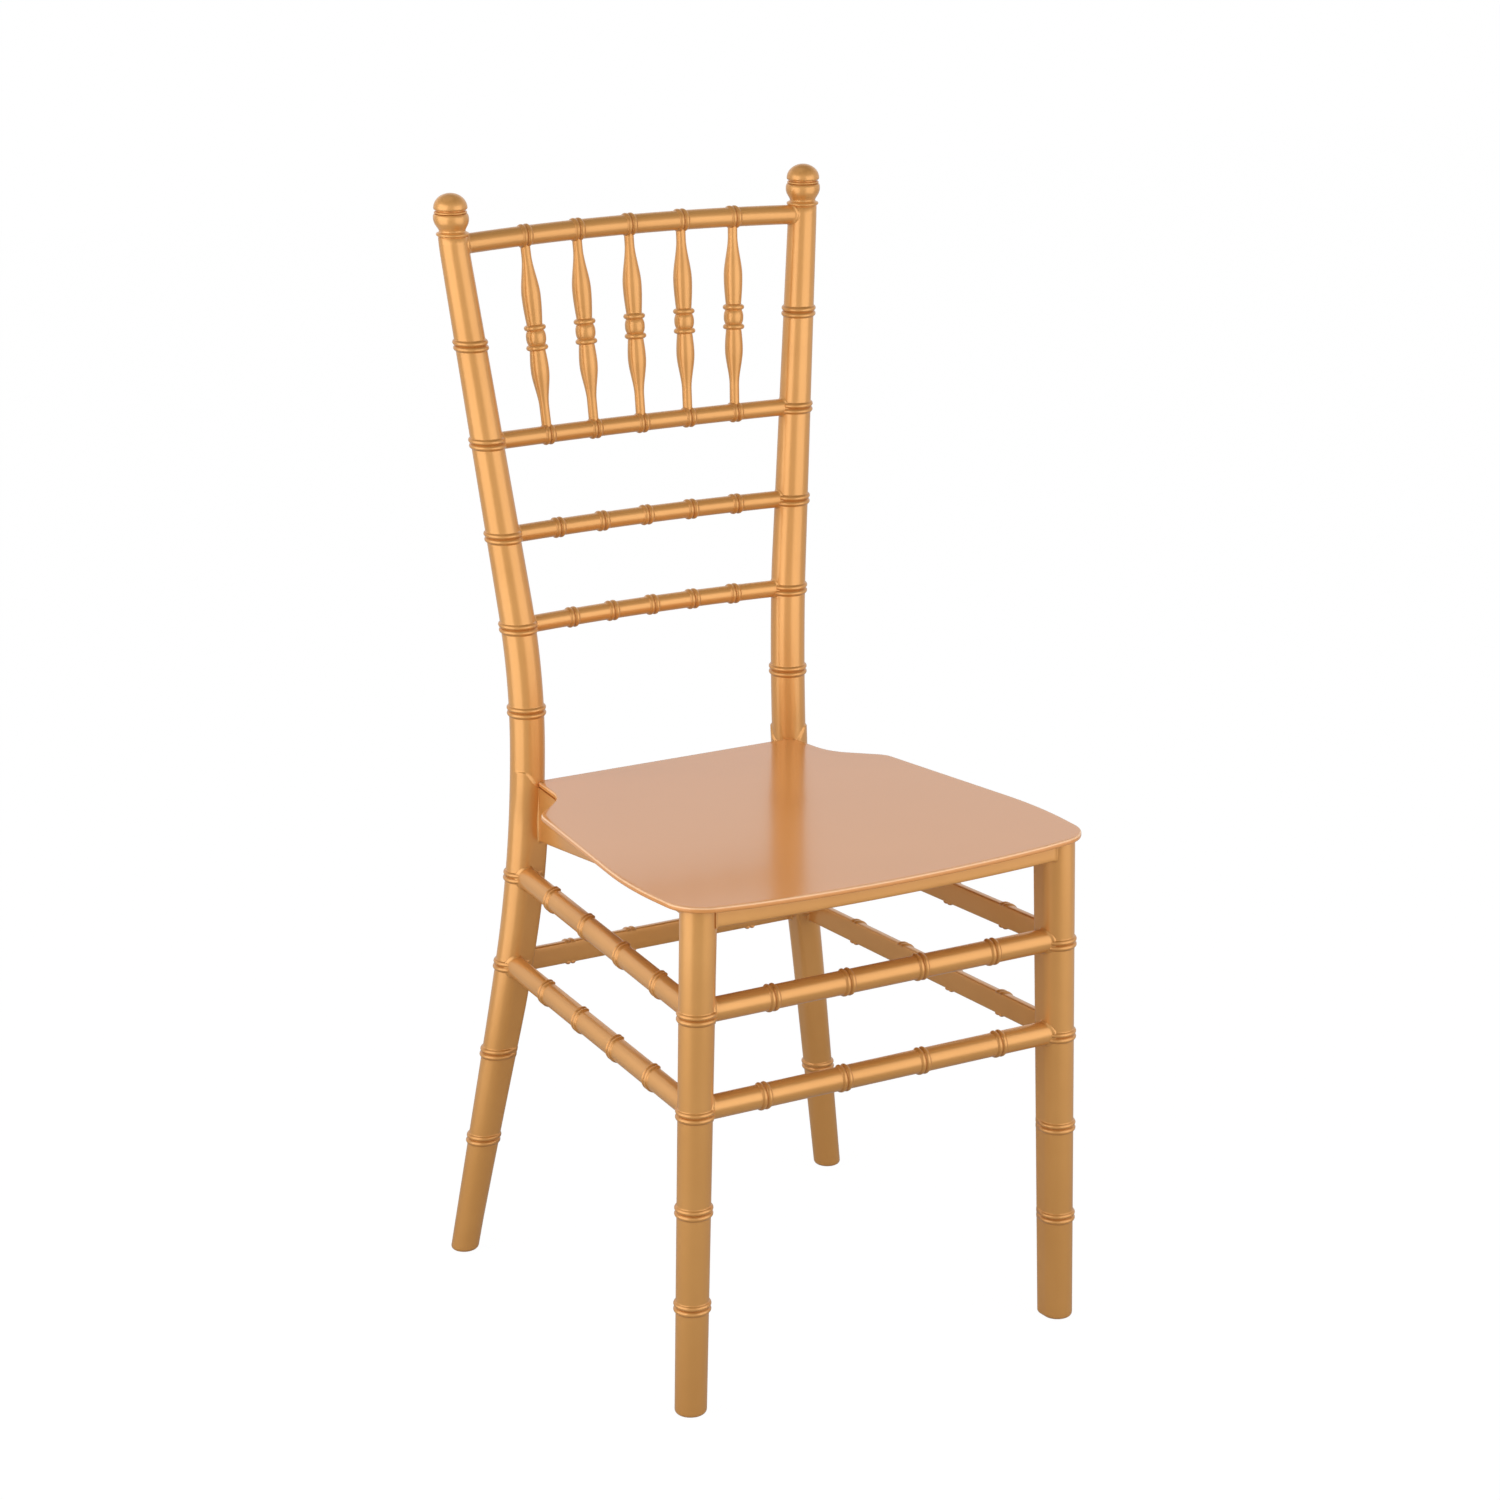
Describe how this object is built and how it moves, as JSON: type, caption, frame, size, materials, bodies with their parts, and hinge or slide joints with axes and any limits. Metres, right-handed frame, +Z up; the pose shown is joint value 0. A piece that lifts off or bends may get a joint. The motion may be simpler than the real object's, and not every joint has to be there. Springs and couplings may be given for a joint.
{
  "type": "dining chair",
  "caption": "Gold plastic banquet chair with a spindle back, ringed bamboo-style legs and rails, splayed rear legs and a flat seat panel notched around the posts.",
  "frame": {"origin": "on the floor, under the middle of the chair's bounding box", "axes": "+Z up, front of the seat towards -Y, +X to the right when looking along +Y at the front of the chair"},
  "size_m": [0.3952, 0.4464, 0.92],
  "materials": {
    "gold_plastic": "semi-gloss gold pearl, moulded",
    "gold_plastic_seat": "semi-gloss gold pearl, moulded flat",
    "zinc_steel": "zinc plated",
    "glide_nylon": "matte black"
  },
  "bodies": {
    "root": {"rear_leg_left": "gold_plastic", "rear_leg_right": "gold_plastic", "front_leg_left": "gold_plastic", "front_leg_right": "gold_plastic", "post_cap_left": "gold_plastic", "post_cap_right": "gold_plastic", "top_rail": "gold_plastic", "spindle_rail": "gold_plastic", "back_slat_upper": "gold_plastic", "back_slat_lower": "gold_plastic", "spindle_1": "gold_plastic", "spindle_2": "gold_plastic", "spindle_3": "gold_plastic", "spindle_4": "gold_plastic", "spindle_5": "gold_plastic", "front_rail_upper": "gold_plastic", "front_rail_lower": "gold_plastic", "left_rail_upper": "gold_plastic", "left_rail_lower": "gold_plastic", "right_rail_upper": "gold_plastic", "right_rail_lower": "gold_plastic", "rear_rail": "gold_plastic", "front_apron": "gold_plastic", "left_apron": "gold_plastic", "right_apron": "gold_plastic", "rear_crossbar": "gold_plastic", "seat_panel": "gold_plastic_seat", "seat_screw_1": "zinc_steel", "seat_screw_2": "zinc_steel", "seat_screw_3": "zinc_steel", "seat_screw_4": "zinc_steel", "seat_screw_5": "zinc_steel", "seat_screw_6": "zinc_steel", "seat_screw_7": "zinc_steel", "seat_screw_8": "zinc_steel", "foot_glide_1": "glide_nylon", "foot_glide_2": "glide_nylon", "foot_glide_3": "glide_nylon", "foot_glide_4": "glide_nylon"}
  },
  "joints": []
}
